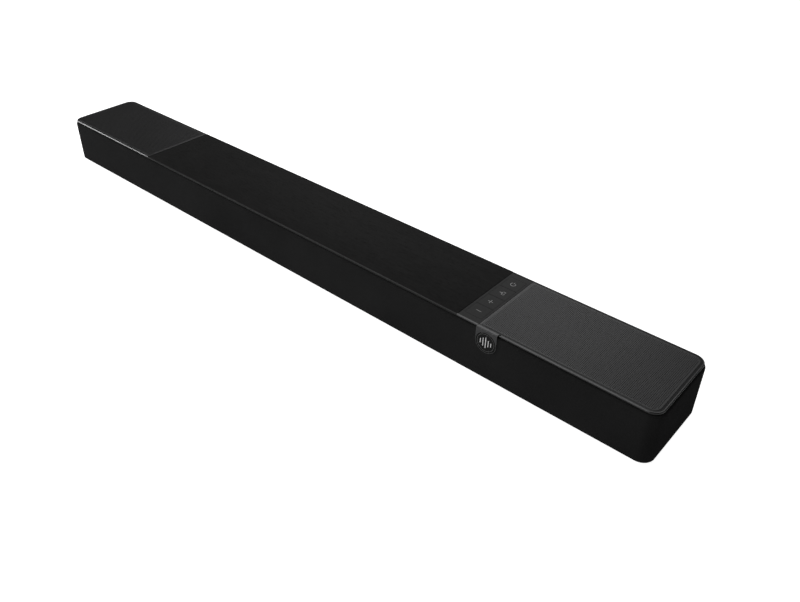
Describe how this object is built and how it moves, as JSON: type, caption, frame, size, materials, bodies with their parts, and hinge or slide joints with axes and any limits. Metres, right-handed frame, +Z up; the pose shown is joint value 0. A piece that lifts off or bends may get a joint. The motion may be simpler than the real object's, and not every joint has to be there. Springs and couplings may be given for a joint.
{
  "type": "soundbar",
  "caption": "Long low loudspeaker bar with a wood-topped deck, perforated metal end grilles, cloth front and ends, touch-press keys and a rear port bay.",
  "frame": {"origin": "middle of the footprint, on the surface that the rubber feet stand on", "axes": "+X along the bar towards a listener's right, -Y towards the listener, +Z up"},
  "size_m": [1.118, 0.126, 0.078],
  "materials": {
    "housing_plastic": "moulded, fine texture",
    "cloth": "black woven speaker cloth",
    "end_trim": "satin",
    "grille": "satin graphite, perforated",
    "scrim": "acoustic scrim",
    "wood": "black open-pore veneer",
    "control_finish": "satin",
    "badge_metal": "dark brushed",
    "gloss_black": "gloss",
    "foot_rubber": "matte",
    "socket_shell": "nickel plated",
    "socket_plastic": "moulded",
    "circuit_board": "solder mask",
    "heat_sink": "extruded",
    "basket": "satin",
    "surround_rubber": "matte",
    "cone": "coated pulp",
    "screw": "black zinc"
  },
  "bodies": {
    "chassis": {"base_plate": "housing_plastic", "inner_housing": "housing_plastic", "cloth_carrier": "housing_plastic", "port_panel": "housing_plastic", "rear_cover_left": "housing_plastic", "rear_cover_right": "housing_plastic", "top_frame": "housing_plastic", "fabric_wrap": "cloth", "end_trim_left": "end_trim", "end_trim_right": "end_trim", "grille_left": "grille", "grille_right": "grille", "scrim_left": "scrim", "scrim_right": "scrim", "wood_panel": "wood", "control_panel": "control_finish", "badge_tab": "badge_metal", "badge_disc": "gloss_black", "display_module": "gloss_black", "foot_front_left": "foot_rubber", "foot_front_right": "foot_rubber", "foot_rear_left": "foot_rubber", "foot_rear_right": "foot_rubber", "hdmi_socket": "socket_shell", "sub_out_jack": "socket_shell", "optical_socket": "socket_plastic", "power_inlet": "socket_plastic", "tweeter_horn": "socket_plastic", "main_board": "circuit_board", "power_board": "circuit_board", "key_board": "circuit_board", "heat_sink": "heat_sink", "woofer_left_basket": "basket", "woofer_right_basket": "basket", "height_left_basket": "basket", "height_right_basket": "basket", "front_outer_left_basket": "basket", "front_inner_left_basket": "basket", "front_inner_right_basket": "basket", "front_outer_right_basket": "basket", "tweeter_motor": "basket", "woofer_left_surround": "surround_rubber", "woofer_right_surround": "surround_rubber", "housing_screw_1": "screw", "housing_screw_2": "screw", "housing_screw_3": "screw", "housing_screw_4": "screw"},
    "minus_key": {"minus_key": "control_finish"},
    "plus_key": {"plus_key": "control_finish"},
    "source_key": {"source_key": "control_finish"},
    "power_key": {"power_key": "control_finish"},
    "woofer_left_cone": {"woofer_left_cone": "cone"},
    "height_left_cone": {"height_left_cone": "cone"},
    "woofer_right_cone": {"woofer_right_cone": "cone"},
    "height_right_cone": {"height_right_cone": "cone"},
    "front_outer_left_cone": {"front_outer_left_cone": "cone"},
    "front_inner_left_cone": {"front_inner_left_cone": "cone"},
    "front_inner_right_cone": {"front_inner_right_cone": "cone"},
    "front_outer_right_cone": {"front_outer_right_cone": "cone"},
    "tweeter_dome": {"tweeter_dome": "cone"}
  },
  "joints": [
    {"name": "minus_key_press", "type": "slide", "parent": "chassis", "child": "minus_key", "axis": [0, 0, -1], "range_m": [0, 0.0005], "stiffness_N_per_m": 900},
    {"name": "plus_key_press", "type": "slide", "parent": "chassis", "child": "plus_key", "axis": [0, 0, -1], "range_m": [0, 0.0005], "stiffness_N_per_m": 900},
    {"name": "source_key_press", "type": "slide", "parent": "chassis", "child": "source_key", "axis": [0, 0, -1], "range_m": [0, 0.0005], "stiffness_N_per_m": 900},
    {"name": "power_key_press", "type": "slide", "parent": "chassis", "child": "power_key", "axis": [0, 0, -1], "range_m": [0, 0.0005], "stiffness_N_per_m": 900},
    {"name": "woofer_left_excursion", "type": "slide", "parent": "chassis", "child": "woofer_left_cone", "axis": [0, 0, 1], "range_m": [-0.003, 0.003], "stiffness_N_per_m": 2000, "deforming": ["woofer_left_surround"]},
    {"name": "height_left_excursion", "type": "slide", "parent": "chassis", "child": "height_left_cone", "axis": [0, -0.2588, 0.9659], "range_m": [-0.0015, 0.0015], "stiffness_N_per_m": 2500},
    {"name": "woofer_right_excursion", "type": "slide", "parent": "chassis", "child": "woofer_right_cone", "axis": [0, 0, 1], "range_m": [-0.003, 0.003], "stiffness_N_per_m": 2000, "deforming": ["woofer_right_surround"]},
    {"name": "height_right_excursion", "type": "slide", "parent": "chassis", "child": "height_right_cone", "axis": [0, -0.2588, 0.9659], "range_m": [-0.0015, 0.0015], "stiffness_N_per_m": 2500},
    {"name": "front_outer_left_excursion", "type": "slide", "parent": "chassis", "child": "front_outer_left_cone", "axis": [0, -1, 0], "range_m": [-0.0015, 0.0015], "stiffness_N_per_m": 2500},
    {"name": "front_inner_left_excursion", "type": "slide", "parent": "chassis", "child": "front_inner_left_cone", "axis": [0, -1, 0], "range_m": [-0.0015, 0.0015], "stiffness_N_per_m": 2500},
    {"name": "front_inner_right_excursion", "type": "slide", "parent": "chassis", "child": "front_inner_right_cone", "axis": [0, -1, 0], "range_m": [-0.0015, 0.0015], "stiffness_N_per_m": 2500},
    {"name": "front_outer_right_excursion", "type": "slide", "parent": "chassis", "child": "front_outer_right_cone", "axis": [0, -1, 0], "range_m": [-0.0015, 0.0015], "stiffness_N_per_m": 2500},
    {"name": "tweeter_dome_excursion", "type": "slide", "parent": "chassis", "child": "tweeter_dome", "axis": [0, -1, 0], "range_m": [-0.00025, 0.00025], "stiffness_N_per_m": 3000}
  ]
}
